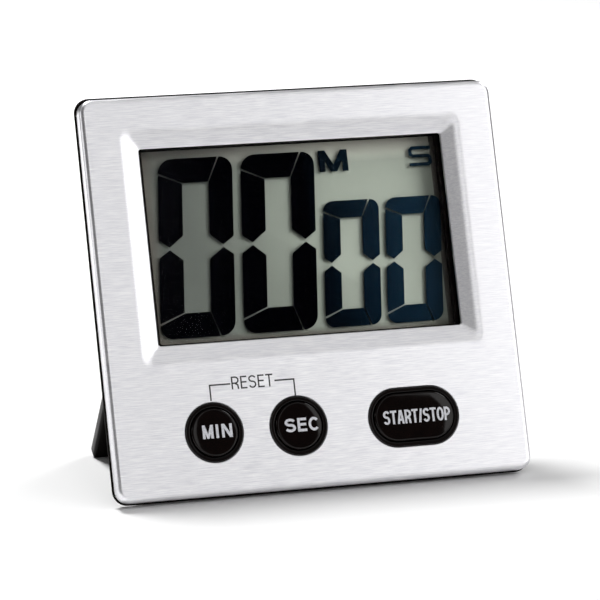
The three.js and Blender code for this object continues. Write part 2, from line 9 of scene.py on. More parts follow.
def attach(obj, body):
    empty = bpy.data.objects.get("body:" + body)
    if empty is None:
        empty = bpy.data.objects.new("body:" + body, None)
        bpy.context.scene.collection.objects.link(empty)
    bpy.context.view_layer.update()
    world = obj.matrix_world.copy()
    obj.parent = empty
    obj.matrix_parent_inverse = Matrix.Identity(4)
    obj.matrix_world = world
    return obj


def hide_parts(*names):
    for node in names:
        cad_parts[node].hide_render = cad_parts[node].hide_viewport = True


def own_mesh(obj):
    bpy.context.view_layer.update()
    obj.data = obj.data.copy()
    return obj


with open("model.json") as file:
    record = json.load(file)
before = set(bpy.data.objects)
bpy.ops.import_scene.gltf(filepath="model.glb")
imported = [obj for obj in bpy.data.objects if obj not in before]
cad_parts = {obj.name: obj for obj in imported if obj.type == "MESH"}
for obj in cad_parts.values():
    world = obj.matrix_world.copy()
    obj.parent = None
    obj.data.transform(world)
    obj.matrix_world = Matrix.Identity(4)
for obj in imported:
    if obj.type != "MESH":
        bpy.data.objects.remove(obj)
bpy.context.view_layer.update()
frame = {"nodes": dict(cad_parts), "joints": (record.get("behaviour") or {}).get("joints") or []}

# The timer's own frame, called the case frame: millimetres, x to the right, y up the front
# panel, z out of it, and "depth" the distance behind the panel's front. It leans back in the
# row frame, and CASE takes it there. Joints give the lean and the place.

MM = 0.001
JOINTS = {joint["name"]: joint for joint in frame["joints"]}
REARWARD = Vector(JOINTS["min_press"]["axis"])
HINGE = Vector(JOINTS["stand_fold"]["pos_m"])
STAND_OPEN = -math.radians(JOINTS["stand_fold"]["range_deg"][0])
HINGE_Y, HINGE_DEPTH = -5.7, 12.7

RIGHT = Vector((1, 0, 0))
OUTWARD = -REARWARD
UPWARD = OUTWARD.cross(RIGHT)
PANEL_CENTRE = HINGE - (UPWARD * HINGE_Y - OUTWARD * HINGE_DEPTH) * MM
TURN = Matrix((RIGHT, UPWARD, OUTWARD)).transposed().to_4x4()
CASE = Matrix.Translation(PANEL_CENTRE) @ TURN @ Matrix.Scale(MM, 4)
STAND = (
    Matrix.Translation(HINGE)
    @ TURN
    @ Matrix.Rotation(STAND_OPEN, 4, "X")
    @ Matrix.Scale(MM, 4)
)

# ---- measures, case frame

PANEL = {
    "half_width": 40.0, "half_height": 37.07, "y": -0.08, "corner": 2.5, "sheet": 0.5, "wrap": 2.8,
}
BEND = 0.95
WINDOW = {"half_width": 29.4, "half_height": 18.3, "corner": 0.5, "y": 9.16, "depth": 1.1}
BEVEL = {"half_width": 32.5, "half_height": 21.6, "corner": 1.9, "y": 9.1}

KEY_Y = -25.7
# Each key's x, and half the length of its straight sides.
KEYS = {"min_key": (-20.9, 0.0), "sec_key": (-4.8, 0.0), "start_stop_key": (17.6, 3.34)}
COLLAR_RADIUS, COLLAR_BORE = 5.46, 4.69
CAP_RADIUS, CAP_CROWN = 4.45, 0.58
CAP_FLAT, CAP_SAG, CAP_ROLL = 4.0, 0.078, 0.5

THICK, THIN = 14.0, 11.2
STEP_Y = -3.8
CASE_HALF_WIDTH, CASE_HALF_HEIGHT = 36.6, 34.5
CASE_SCREWS = [(sx * 32.6, sy * 30.6) for sy in (1, -1) for sx in (-1, 1)]
BOARD_SCREWS = [(side * 27.3, -17.2) for side in (-1, 1)]
CELL_Y = 14.5

# ---- meshes


def quarter(steps):
    """The angles of a quarter turn, from 0 to a right angle, in equal steps."""
    return [step / steps * math.pi / 2 for step in range(steps + 1)]


def arc(centre_x, centre_y, radius_x, radius_y, start, end, steps=10):
    """Points on an ellipse between two angles in degrees."""
    angles = [math.radians(start + (end - start) * i / steps) for i in range(steps + 1)]
    return [(centre_x + radius_x * math.cos(a), centre_y + radius_y * math.sin(a)) for a in angles]


def oval(centre_x, centre_y, radius_x, radius_y):
    """Points all round an ellipse, for a closed outline."""
    return arc(centre_x, centre_y, radius_x, radius_y, 0, 345, 23)


def ring(half_width, half_height, corner, depth, x=0.0, y=0.0, steps=8, low_corner=None):
    """Points of a rounded rectangle at a depth, anticlockwise. A circle is one that is all corner."""
    points = []
    for turn in range(4):
        side_x = 1 if turn in (0, 3) else -1
        side_y = 1 if turn < 2 else -1
        radius = corner if low_corner is None or side_y > 0 else low_corner
        for step in range(steps + 1):
            angle = (turn + step / steps) * math.pi / 2
            px = x + side_x * (half_width - radius) + radius * math.cos(angle)
            py = y + side_y * (half_height - radius) + radius * math.sin(angle)
            points.append((px, py, -depth))
    return points


def tidy_mesh(bm):
    """The finished mesh of a bmesh, with doubles merged and its faces turned outwards."""
    bmesh.ops.remove_doubles(bm, verts=bm.verts, dist=1e-4)
    bmesh.ops.dissolve_degenerate(bm, edges=bm.edges, dist=1e-5)
    bmesh.ops.recalc_face_normals(bm, faces=bm.faces)
    mesh = bpy.data.meshes.new("part")
    bm.to_mesh(mesh)
    bm.free()
    return mesh


def loft(rings, closed=False):
    """A mesh through rings of equally many points. Open ends are capped; closed makes a frame."""
    bm = bmesh.new()
    rows = [[bm.verts.new(point) for point in points] for points in rings]
    pairs = list(zip(rows, rows[1:]))
    if closed:
        pairs.append((rows[-1], rows[0]))
    for near, far in pairs:
        for i, start in enumerate(near):
            j = (i + 1) % len(near)
            bm.faces.new((start, near[j], far[j], far[i]))
    if not closed:
        bm.faces.new(reversed(rows[0]))
        bm.faces.new(rows[-1])
    return tidy_mesh(bm)


def slab(half_width, half_height, corner, front, back, x=0.0, y=0.0,
         round_front=0.0, round_back=0.0, steps=8, low_corner=None):
    """A plate between two depths, with a rounded rectangle for its outline and rounded edges."""
    def level(inset, depth):
        low = None if low_corner is None else max(low_corner - inset, 0.01)
        return ring(
            half_width - inset, half_height - inset, max(corner - inset, 0.01),
            depth, x, y, steps, low,
        )

    rings = []
    for angle in quarter(5) if round_back else [math.pi / 2]:
        rings.append(
            level(round_back * (1 - math.sin(angle)), back - round_back * (1 - math.cos(angle)))
        )
    for angle in quarter(5) if round_front else [0]:
        rings.append(
            level(round_front * (1 - math.cos(angle)), front + round_front * (1 - math.sin(angle)))
        )
    return loft(rings)


def block(half_width, low, high, front, back, corner=0.05, x=0.0):
    """A plain plate between two heights and two depths."""
    return slab(half_width, (high - low) / 2, corner, front, back, x, (high + low) / 2)


def round_slab(radius, front, back, x=0.0, y=0.0, round_back=0.0, steps=12):
    return slab(radius, radius, radius, front, back, x, y, 0.0, round_back, steps)


def hole(half_width, half_height, corner, floor, mouth, x=0.0, y=0.0, chamfer=0.12, steps=8):
    """A cutter from its floor out through a face at depth mouth, with a small chamfer there."""
    out = 1 if mouth > floor else -1

    def level(outset, depth):
        return ring(half_width + outset, half_height + outset, corner + outset, depth, x, y, steps)

    straight = [level(0, floor), level(0, mouth - out * chamfer)]
    return loft([*straight, level(chamfer, mouth), level(chamfer, mouth + out)])


def round_hole(radius, floor, mouth, x=0.0, y=0.0, chamfer=0.12, steps=10):
    return hole(radius, radius, radius, floor, mouth, x, y, chamfer, steps)


def turned(profile, x, y):
    """A solid of revolution about a depth axis, from (radius, depth) pairs, front to back."""
    return loft([ring(radius, radius, radius, depth, x, y, steps=12) for radius, depth in profile])


def bar(section, x_from, x_to):
    """A prism along x with a section of (depth, y) points."""
    bm = bmesh.new()
    ends = [[bm.verts.new((x, y, -depth)) for depth, y in section] for x in (x_from, x_to)]
    for i in range(len(section)):
        j = (i + 1) % len(section)
        bm.faces.new((ends[0][i], ends[0][j], ends[1][j], ends[1][i]))
    for end in ends:
        bm.faces.new(end)
    return tidy_mesh(bm)


def polygon_plate(outlines, front, back):
    """Flat plates of the given (x, y) outlines, between two depths, as one mesh."""
    bm = bmesh.new()
    for outline in outlines:
        levels = [[bm.verts.new((x, y, -depth)) for x, y in outline] for depth in (front, back)]
        for i in range(len(outline)):
            j = (i + 1) % len(outline)
            bm.faces.new((levels[0][i], levels[0][j], levels[1][j], levels[1][i]))
        for level in levels:
            bm.faces.new(level)
    return tidy_mesh(bm)


def combine(base, tools, operation):
    """The base mesh with each tool mesh added, cut away or kept in common."""
    holder = bpy.data.objects.new("holder", base)
    bpy.context.scene.collection.objects.link(holder)
    helpers = []
    for tool in tools:
        helper = bpy.data.objects.new("helper", tool)
        bpy.context.scene.collection.objects.link(helper)
        helpers.append(helper)
        modifier = holder.modifiers.new("combine", "BOOLEAN")
        modifier.operation = operation
        modifier.solver = "MANIFOLD"
        modifier.object = helper
    depsgraph = bpy.context.evaluated_depsgraph_get()
    result = bpy.data.meshes.new_from_object(holder.evaluated_get(depsgraph))
    for helper in [holder, *helpers]:
        bpy.data.objects.remove(helper)
    return result


def add(base, *tools):
    return combine(base, tools, "UNION")


def cut(base, *tools):
    return combine(base, tools, "DIFFERENCE")


def common(base, *tools):
    return combine(base, tools, "INTERSECT")


def piece(name, mesh, material, body, place=CASE, stands_for=(), smooth=32.0):
    """An object of the timer: its mesh taken to the row frame, riding on a body."""
    mesh.name = name
    mesh.transform(place)
    mesh.materials.clear()
    mesh.materials.append(material)
    mesh.shade_smooth()
    mesh.set_sharp_from_angle(angle=math.radians(smooth))
    made = bpy.data.objects.new(name, mesh)
    bpy.context.scene.collection.objects.link(made)
    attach(made, body)
    if stands_for:
        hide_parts(*stands_for)
    return made


# ---- materials


class Nodes:
    """Short words for building a material's node tree around one Principled shader."""

    def __init__(self, name):
        self.material = bpy.data.materials.new(name)
        self.material.use_nodes = True
        self.tree = self.material.node_tree
        self.tree.nodes.clear()
        self.output = self.tree.nodes.new("ShaderNodeOutputMaterial")
        self.shader = self.tree.nodes.new("ShaderNodeBsdfPrincipled")
        self.tree.links.new(self.shader.outputs[0], self.output.inputs["Surface"])
        self.coordinates = self.tree.nodes.new("ShaderNodeTexCoord").outputs["Object"]

    def set(self, **values):
        for name, value in values.items():
            label = name.replace("_", " ").title().replace("Ior", "IOR")
            self.shader.inputs[label].default_value = value

    def link(self, source, target):
        self.tree.links.new(source, target)

    def node(self, kind, **values):
        made = self.tree.nodes.new(kind)
        for name, value in values.items():
            setattr(made, name, value)
        return made

    def along(self, direction):
        """The distance along a direction from the panel's middle, in millimetres."""
        shift = self.node("ShaderNodeVectorMath", operation="SUBTRACT")
        self.link(self.coordinates, shift.inputs[0])
        shift.inputs[1].default_value = PANEL_CENTRE
        dot = self.node("ShaderNodeVectorMath", operation="DOT_PRODUCT")
        self.link(shift.outputs[0], dot.inputs[0])
        dot.inputs[1].default_value = Vector(direction) / MM
        return dot.outputs["Value"]

    def case_point(self, scales=(1, 1, 1)):
        """The case frame's coordinates, each one scaled."""
        parts = self.node("ShaderNodeCombineXYZ")
        for socket, axis, scale in zip(parts.inputs, (RIGHT, UPWARD, OUTWARD), scales):
            self.link(self.along(axis * scale), socket)
        return parts.outputs[0]

    def noise(self, scales, detail=2.0, roughness=0.5):
        """Noise with so many features per millimetre along the case frame's x, y and z."""
        vector = self.case_point(scales)
        made = self.node("ShaderNodeTexNoise")
        made.inputs["Scale"].default_value = 1.0
        made.inputs["Detail"].default_value = detail
        made.inputs["Roughness"].default_value = roughness
        self.link(vector, made.inputs["Vector"])
        return made.outputs["Fac"]

    def remap(self, value, low, high, from_low=0.3, from_high=0.7):
        """A value taken to low and high, from the range that most noise lies in."""
        made = self.node("ShaderNodeMapRange")
        for socket, number in zip(made.inputs[1:5], (from_low, from_high, low, high)):
            socket.default_value = number
        self.link(value, made.inputs[0])
        return made.outputs[0]

    def blend(self, fac, first, second):
        made = self.node("ShaderNodeMix", data_type="RGBA")
        self.link(fac, made.inputs["Factor"])
        for socket, colour in ((made.inputs[6], first), (made.inputs[7], second)):
            if isinstance(colour, tuple):
                socket.default_value = (*colour, 1)
            else:
                self.link(colour, socket)
        return made.outputs[2]

    def product(self, first, second):
        made = self.node("ShaderNodeMath", operation="MULTIPLY")
        self.link(first, made.inputs[0])
        self.link(second, made.inputs[1])
        return made.outputs[0]

    def colour(self, socket):
        self.link(socket, self.shader.inputs["Base Color"])

    def roughness(self, socket):
        self.link(socket, self.shader.inputs["Roughness"])

    def bump(self, height, distance, strength):
        made = self.node("ShaderNodeBump")
        made.inputs["Distance"].default_value = distance
        made.inputs["Strength"].default_value = strength
        self.link(height, made.inputs["Height"])
        self.link(made.outputs[0], self.shader.inputs["Normal"])


def brushed_steel():
    """Fine straight brushing across the panel, with a few longer and deeper strokes."""
    made = Nodes("brushed_steel")
    fine = made.noise((0.24, 6.0, 4.6), 4.0, 0.7)
    broad = made.noise((0.12, 1.5, 1.2), 3.0, 0.6)
    cloudy = made.noise((0.05, 0.09, 0.07))
    tone = made.blend(made.remap(fine, 0, 1, 0.36, 0.64), (0.75, 0.747, 0.787), (1.0, 0.995, 1.0))
    stroke_tone = made.blend(made.remap(broad, 0, 0.28), tone, (0.76, 0.757, 0.795))
    cloud_tone = made.blend(made.remap(cloudy, 0, 0.25), stroke_tone, (0.84, 0.837, 0.87))
    made.colour(cloud_tone)
    made.roughness(made.remap(fine, 0.30, 0.44))
    made.bump(made.product(fine, broad), 0.00002, 0.35)
    made.set(metallic=1.0)
    return made.material


def moulded_plastic(name, dark, light, smooth, rough, level):
    """Black moulded plastic: a fine spark-eroded grain, and faint handling marks in its gloss."""
    made = Nodes(name)
    grain = made.noise((6.0, 6.0, 6.0), 3.0, 0.6)
    smudge = made.noise((0.09, 0.12, 0.1), 4.0, 0.6)
    made.colour(made.blend(made.remap(grain, 0, 1), dark, light))
    made.roughness(made.remap(smudge, smooth, rough))
    made.bump(grain, 0.00001, 0.5)
    made.set(ior=1.5, specular_ior_level=level)
    return made.material


def glossy_black(name, level):
    """Polished black plastic, with hairline wear that only its gloss shows."""
    made = Nodes(name)
    hairs = made.noise((0.5, 5.0, 0.5), 5.0, 0.7)
    cloud = made.noise((0.6, 0.6, 0.6))
    dark, light = (0.0018, 0.0006, 0.0005), (0.0034, 0.0013, 0.001)
    made.colour(made.blend(made.remap(cloud, 0, 1), dark, light))
    made.roughness(made.remap(hairs, 0.04, 0.08))
    made.set(ior=1.5, specular_ior_level=level)
    return made.material


def printed_ink(name, tint, shade):
    """Screen-printed ink: slightly uneven cover."""
    made = Nodes(name)
    cover = made.noise((4.0, 4.0, 4.0), 4.0, 0.7)
    made.colour(made.blend(made.remap(cover, 0, 1, 0.35, 0.65), shade, tint))
    made.roughness(made.remap(cover, 0.4, 0.6))
    return made.material


def clear_sheet(name, tint, smooth, rough, ior):
    """Clear sheet that lamps shine through: glass to the eye, open to shadow rays."""
    made = Nodes(name)
    film = made.noise((0.05, 0.08, 0.05), 3.0)
    made.roughness(made.remap(film, smooth, rough))
    made.colour(made.blend(made.remap(film, 0, 1), tint, tuple(0.97 * c for c in tint)))
    made.set(transmission_weight=1.0, ior=ior)
    rays = made.node("ShaderNodeLightPath")
    gate = made.node("ShaderNodeMixShader")
    clear = made.node("ShaderNodeBsdfTransparent")
    clear.inputs[0].default_value = (*tint, 1)
    made.link(rays.outputs["Is Shadow Ray"], gate.inputs[0])
    made.link(made.shader.outputs[0], gate.inputs[1])
    made.link(clear.outputs[0], gate.inputs[2])
    made.link(gate.outputs[0], made.output.inputs["Surface"])
    return made.material


def display_reflector():
    """Grey-green film, browner at its left and low edges. Its colour holds painted light: lighter to the
    right, where the key lamp falls, and a lighter, warmer band at the top that offsets the shadow of the
    window's top wall.
    """
    made = Nodes("display_reflector")
    # Painted light: the film gets lighter from left to right, towards the key lamp.
    across = made.remap(made.along(RIGHT), 0, 1, -20.0, 9.0)
    grain = made.noise((9.0, 9.0, 9.0))

    def mottled(dark, light):
        return made.blend(made.remap(grain, 0, 1), dark, light)

    left = mottled((0.135, 0.143, 0.132), (0.155, 0.163, 0.152))
    right = mottled((0.32, 0.34, 0.302), (0.355, 0.375, 0.335))
    brown = mottled((0.125, 0.108, 0.098), (0.145, 0.126, 0.115))
    from_left = made.remap(made.along(RIGHT), 0, 1, -27.6, -25.0)
    from_low = made.remap(made.along(UPWARD), 0, 1, -8.4, -6.8)
    # Painted light: a lighter, warmer band along the top edge, set against the shade of the window's top
    # wall.
    painted_top_light_mask = made.remap(made.along(UPWARD), 0, 1, 27.4, 23.8)
    top = made.blend(across, (0.25, 0.235, 0.22), (0.62, 0.59, 0.54))
    main = made.blend(painted_top_light_mask, top, made.blend(across, left, right))
    made.colour(made.blend(made.product(from_left, from_low), brown, main))
    made.roughness(made.remap(grain, 0.42, 0.48))
    made.set(metallic=0.8)
    return made.material


def dark_crystal():
    """Switched-on liquid crystal: black, with a painted bluish reflection that grows towards the right.
    """
    made = Nodes("dark_crystal")
    # Painted reflection: the segments turn dark blue towards the right, standing in for the glass above
    # them reflecting the lamps.
    across = made.remap(made.along(RIGHT), 0, 1, 3.0, 25.0)
    grain = made.noise((5.0, 5.0, 5.0))
    left = made.blend(made.remap(grain, 0, 1), (0.0004, 0.0004, 0.001), (0.001, 0.001, 0.002))
    right = made.blend(made.remap(grain, 0, 1), (0.005, 0.018, 0.034), (0.007, 0.022, 0.042))
    made.colour(made.blend(across, left, right))
    made.roughness(made.remap(grain, 0.35, 0.45))
    made.set(specular_ior_level=0.0)
    return made.material


def spotted(name, first, second, scale, smooth, rough, metallic=0.0, bump=0.0):
    """Two close colours mixed by noise of a scale per millimetre, unevenly rough."""
    made = Nodes(name)
    mix = made.noise((scale, scale, scale), 4.0, 0.6)
    made.colour(made.blend(made.remap(mix, 0, 1), first, second))
    made.roughness(made.remap(mix, smooth, rough))
    if bump:
        made.bump(mix, bump, 0.6)
    made.set(metallic=metallic)
    return made.material


def striped(name, first, second, per_mm, smooth, rough):
    """Fine alternating layers along x, as in an elastomer connector."""
    made = Nodes(name)
    wave = made.node("ShaderNodeTexWave", wave_type="BANDS", bands_direction="X")
    wave.inputs["Scale"].default_value = per_mm
    wave.inputs["Distortion"].default_value = 0.2
    made.link(made.case_point(), wave.inputs["Vector"])
    made.colour(made.blend(wave.outputs["Fac"], first, second))
    made.roughness(made.remap(wave.outputs["Fac"], smooth, rough, 0, 1))
    return made.material


STEEL = brushed_steel()
HOUSING = moulded_plastic(
    "black_housing", (0.004, 0.0035, 0.0035), (0.009, 0.008, 0.008), 0.3, 0.42, 0.25
)
FRONT_BLACK = moulded_plastic(
    "black_satin", (0.004, 0.0028, 0.0024), (0.009, 0.0065, 0.0055), 0.45, 0.58, 0.03
)
STAND_BLACK = moulded_plastic(
    "black_stand", (0.003, 0.0022, 0.002), (0.007, 0.0055, 0.005), 0.3, 0.42, 0.1
)
CAP = glossy_black("glossy_black_cap", 0.21)
COLLAR = glossy_black("glossy_black_collar", 0.36)
WHITE_INK = printed_ink("white_ink", (0.80, 0.81, 0.85), (0.52, 0.53, 0.57))
BLACK_INK = printed_ink("black_ink", (0.012, 0.011, 0.011), (0.03, 0.028, 0.028))
ACRYLIC = clear_sheet("clear_acrylic", (0.985, 0.99, 0.985), 0.04, 0.06, 1.05)
DOME = spotted("dome_rubber", (0.012, 0.012, 0.013), (0.025, 0.025, 0.027), 2.0, 0.6, 0.8)
FERRITE = spotted("ferrite", (0.012, 0.012, 0.013), (0.04, 0.04, 0.042), 3.0, 0.4, 0.7, bump=0.00002)
ZINC = spotted("zinc_plate", (0.45, 0.46, 0.47), (0.62, 0.63, 0.64), 2.5, 0.22, 0.42, 1.0)

# ---- front panel


def front_panel():
    """The pressed steel sheet: bent sides, a soft crease into the window's bevel, key holes."""
    wide, tall, corner = PANEL["half_width"], PANEL["half_height"], PANEL["corner"]
    sheet, wrap = PANEL["sheet"], PANEL["wrap"]

    def outer(inset, depth):
        return ring(wide - inset, tall - inset, max(corner - inset, 0.9), depth, y=PANEL["y"])

    def bevelled(share, depth):
        """A ring between the bevel's outer edge, share 0, and the window's, share 1."""
        return ring(
            BEVEL["half_width"] + share * (WINDOW["half_width"] - BEVEL["half_width"]),
            BEVEL["half_height"] + share * (WINDOW["half_height"] - BEVEL["half_height"]),
            BEVEL["corner"] + share * (WINDOW["corner"] - BEVEL["corner"]),
            depth,
            y=BEVEL["y"] + share * (WINDOW["y"] - BEVEL["y"]),
        )

    rings = [outer(0.04, wrap), outer(0, wrap - 0.06), outer(0, BEND + 0.15)]
    for angle in quarter(9):
        rings.append(outer(BEND * (1 - math.cos(angle)), BEND * (1 - math.sin(angle))))
    rings.append(outer(BEND + 0.2, 0))

    drop = WINDOW["depth"]
    soft = 0.26
    rings.append(bevelled(-soft - 0.08, 0))
    crease_steps = 9
    for step in range(crease_steps + 1):
        share = -soft + 2 * soft * step / crease_steps
        rings.append(bevelled(share, drop * (share + soft) ** 2 / (4 * soft)))
    for share in (soft + 0.03, 0.94, 0.97):
        rings.append(bevelled(share, share * drop))
    rings += [bevelled(1.0, drop + 0.05), bevelled(1.0, drop + sheet - 0.05)]
    rings += [bevelled(0.98, drop + sheet), bevelled(0.0, sheet)]
    rings += [outer(BEND, sheet), outer(sheet, BEND), outer(sheet, wrap - 0.02)]
    radius = COLLAR_RADIUS + 0.06
    holes = [
        hole(radius + straight, radius, radius, 2.0, 0.0, x, KEY_Y, chamfer=0.1, steps=14)
        for x, straight in KEYS.values()
    ]
    return cut(loft(rings, closed=True), *holes)


piece("front_panel", front_panel(), STEEL, "case", stands_for=["steel_fascia"], smooth=24)

# ---- front housing


def collar(x, straight):
    """The black ring round a key, standing just proud of the panel, with a rounded lip."""
    def level(radius, depth):
        return ring(radius + straight, radius, radius, depth, x, KEY_Y, 14)

    outer, bore, bead = COLLAR_RADIUS, COLLAR_BORE, 0.14
    face, back = -0.06, 2.9
    rings = [level(outer, back), level(outer, 0.1)]
    for angle in quarter(6):
        rings.append(level(outer - bead * (1 - math.cos(angle)), -bead * math.sin(angle)))
    for angle in quarter(4)[1:]:
        slope = 0.08 * math.sin(angle)
        rings.append(level(outer - bead - slope, face - (bead + face) * math.cos(angle)))
    rings += [level(outer - 0.25, face), level(bore + 0.11, face), level(bore + 0.08, face)]
    rings += [level(bore + 0.02, face + 0.03), level(bore, face + 0.08), level(bore, back)]
    return loft(rings, closed=True)


def front_housing():
    """The moulding behind the panel: its flange, the display's well and the screw bosses."""
    core = slab(39.2, 36.35, 1.7, 0.8, 4.3)
    flange = slab(40.25, 37.55, 2.75, 3.1, 3.7, y=0.15, round_front=0.03, round_back=0.2, steps=10)
    shell = cut(add(core, flange), slab(35.4, 33.2, 1.0, 2.8, 5.3))
    well = slab(32.8, 23.2, 1.2, 1.9, 7.2, y=7.4)
    bosses = [round_slab(2.1, 1.3, 9.0 if y > 0 else 7.5, x, y) for x, y in CASE_SCREWS]
    bosses += [round_slab(2.0, 1.3, 7.4, x, y) for x, y in BOARD_SCREWS]

    lens_seat = slab(31.3, 20.15, 0.8, 1.0, 3.15, y=9.15)
    bevel_room = slab(33.3, 22.4, 1.5, 0.0, 1.9, y=9.1)
    window = slab(28.8, 18.2, 0.5, 0.0, 5.0, x=0.35, y=9.5)
    display_seat = slab(31.2, 21.6, 0.4, 4.7, 8.0, y=7.0)
    radius = COLLAR_RADIUS - 0.1
    bores = [slab(radius + s, radius, radius, -1, 3.5, x, KEY_Y) for x, s in KEYS.values()]
    bores += [round_slab(1.05, 3.2, 10, x, y) for x, y in CASE_SCREWS]
    bores += [round_slab(1.05, 3.2, 8, x, y) for x, y in BOARD_SCREWS]
    body = add(shell, well, *bosses)
    return cut(body, lens_seat, bevel_room, window, display_seat, *bores)


piece(
    "housing_front", front_housing(), FRONT_BLACK, "case",
    stands_for=["front_housing"],
)
for key, place in KEYS.items():
    piece(
        key.replace("_key", "_collar"), collar(*place), COLLAR, "case", smooth=40
    )

# ---- keys


def cap_depth(distance):
    """Depth of a key cap's top at a distance from its middle: flat, easing into a rolled edge."""
    if distance < CAP_FLAT:
        return -CAP_CROWN + CAP_SAG * (distance / CAP_FLAT) ** 4
    share = min((distance - CAP_FLAT) / (CAP_RADIUS - CAP_FLAT), 1.0)
    return -CAP_CROWN + CAP_SAG + CAP_ROLL * (1 - math.sqrt(1 - share**2))


def key_cap(x, straight):
    """A polished cap with a gentle crown and a rolled edge, down to its hidden flange."""
    def level(radius, depth):
        return ring(radius + straight, radius, radius, depth, x, KEY_Y, 14)

    flange, flange_front, flange_back = 5.8, 3.2, 4.0
    rings = [level(flange, flange_back), level(flange, flange_front), level(CAP_RADIUS, flange_front)]
    for angle in quarter(12):
        radius = CAP_FLAT + (CAP_RADIUS - CAP_FLAT) * math.cos(angle)
        rings.append(level(radius, cap_depth(radius)))
    for share in (0.92, 0.84, 0.75, 0.65, 0.5, 0.3, 0.05):
        rings.append(level(CAP_FLAT * share, cap_depth(CAP_FLAT * share)))
    return loft(rings)


for key, place in KEYS.items():
    piece(f"{key}_cap", key_cap(*place), CAP, key, stands_for=[key], smooth=40)

# ---- rubber domes

DOME_BACK = 7.4
DOME_PROFILE = [
    (2.3, 4.3), (2.45, 4.36), (4.3, 6.6), (4.4, DOME_BACK), (3.6, DOME_BACK), (1.8, 5.5),
]


def key_dome(x, straight):
    """The rubber spring under a key: a hollow cone that stands on the board."""
    return loft([ring(r + straight, r, r, depth, x, KEY_Y) for r, depth in DOME_PROFILE])


for key, (key_x, key_straight) in KEYS.items():
    dome_name = key.replace("_key", "_dome")
    dome = piece(
        f"{dome_name}_spring", key_dome(key_x, key_straight), DOME, "case",
        stands_for=[dome_name],
    )
    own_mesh(dome)

# ---- lettering


def stroke(points, weight, closed=False):
    """A flat bar of one weight along a line of points, from z 0 to 1, mitred at its corners."""
    count = len(points)
    sides = []
    for i, (px, py) in enumerate(points):
        before = points[i - 1] if closed or i > 0 else None
        after = points[(i + 1) % count] if closed or i < count - 1 else None
        normals = []
        for (ax, ay), (bx, by) in filter(all, ((before, (px, py)), ((px, py), after))):
            length = math.hypot(bx - ax, by - ay)
            normals.append(Vector((-(by - ay) / length, (bx - ax) / length)))
        mitre = sum(normals, Vector((0, 0))).normalized()
        reach = weight / 2 / max(mitre.dot(normals[0]), 0.35)
        sides.append((Vector((px, py)) + mitre * reach, Vector((px, py)) - mitre * reach))
    bm = bmesh.new()
    corners = [
        [bm.verts.new((*point, z)) for point, z in ((a, 0), (b, 0), (b, 1), (a, 1))]
        for a, b in sides
    ]
    spans = list(zip(corners, corners[1:]))
    if closed:
        spans.append((corners[-1], corners[0]))
    else:
        bm.faces.new(corners[0])
        bm.faces.new(corners[-1])
    for near, far in spans:
        for i in range(4):
            bm.faces.new((near[i], near[(i + 1) % 4], far[(i + 1) % 4], far[i]))
    return tidy_mesh(bm)


def letter_lines(letter, w, h, t):
    """The centre lines of a capital w wide and h high, drawn with a pen t wide. O's is closed."""
    left, right, low, high = t / 2, w - t / 2, t / 2, h - t / 2
    middle = h * 0.52
    stem = [(left, -t), (left, h + t)]
    right_stem = [(right, -t), (right, h + t)]
    if letter == "M":
        vee = [(left * 0.9, h + 0.2 * t), (w / 2, 0.1 * t), (w - left * 0.9, h + 0.2 * t)]
        return [stem, right_stem, vee]
    if letter == "N":
        return [stem, right_stem, [(left, h + 0.1 * t), (right, -0.1 * t)]]
    if letter == "I":
        return [stem]
    if letter == "E":
        arms = ((low, 0), (middle, 0.06), (high, 0.02))
        return [stem] + [[(left, y), (w - shorter * w, y)] for y, shorter in arms]
    if letter == "T":
        return [[(0, high), (w, high)], [(w / 2, -t), (w / 2, high)]]
    if letter == "A":
        tip, spread = 0.04 * w, w / 2 - t * 0.55 * 0.9
        legs = [[(w / 2 + s * tip, h + 0.3 * t), (w / 2 + s * spread, -0.3 * t)] for s in (-1, 1)]
        return [*legs, [(0.25 * w, 0.30 * h), (0.75 * w, 0.30 * h)]]
    if letter in "PR":
        bowl_low = h * (0.42 if letter == "P" else 0.47)
        radius = (high - bowl_low) / 2
        bowl = [(left, high), (right - radius, high)]
        bowl += arc(right - radius, high - radius, radius, radius, 90, -90, 10)[1:-1]
        bowl += [(right - radius, bowl_low), (left, bowl_low)]
        if letter == "P":
            return [stem, bowl]
        knee = (right - 0.45 * t, bowl_low - 0.6 * radius)
        return [stem, bowl, [(right - 1.2 * radius, bowl_low), knee, (right, -t)]]
    if letter == "/":
        return [[(left, -0.4 * t), (right, h + 0.4 * t)]]
    radius_x = (right - left) / 2
    if letter == "O":
        return [oval(w / 2, h / 2, radius_x, (high - low) / 2)]
    if letter == "C":
        return [arc(w / 2, h / 2, radius_x, (high - low) / 2, 42, 318, 22)]
    if letter == "S":
        top_y, low_y = (high + middle) / 2, (low + middle) / 2
        top, base = (high - middle) / 2, (middle - low) / 2
        curve = arc(w / 2, top_y, radius_x, top, 20, 180, 10)
        curve += arc(w / 2, top_y, radius_x, top, 200, 255, 4)
        curve += arc(w / 2, low_y, radius_x, base, 75, 20, 4)
        curve += arc(w / 2, low_y, radius_x, base, 0, -160, 10)
        return [curve]
    raise ValueError(f"no letter {letter}")


def letter_mesh(letter, width, height, weight):
    """A capital from z 0 to 1: its strokes, trimmed square at its box."""
    lines = letter_lines(letter, width, height, weight)
    strokes = [stroke(line, weight, closed=letter == "O") for line in lines]
    bm = bmesh.new()
    bmesh.ops.create_cube(bm, size=1)
    box = Matrix.Diagonal((width + 0.002, height, 1, 1))
    bm.transform(Matrix.Translation((width / 2, height / 2, 0.5)) @ box)
    window = tidy_mesh(bm)
    joined = add(strokes[0], *strokes[1:]) if len(strokes) > 1 else strokes[0]
    return common(joined, window)


LETTER_WIDTHS = {
    "M": 1.02, "I": 0.3, "N": 1.0, "S": 0.98, "E": 0.84, "C": 1.0, "T": 0.92, "A": 1.06,
    "R": 0.98, "O": 1.05, "P": 0.92, "/": 0.6,
}


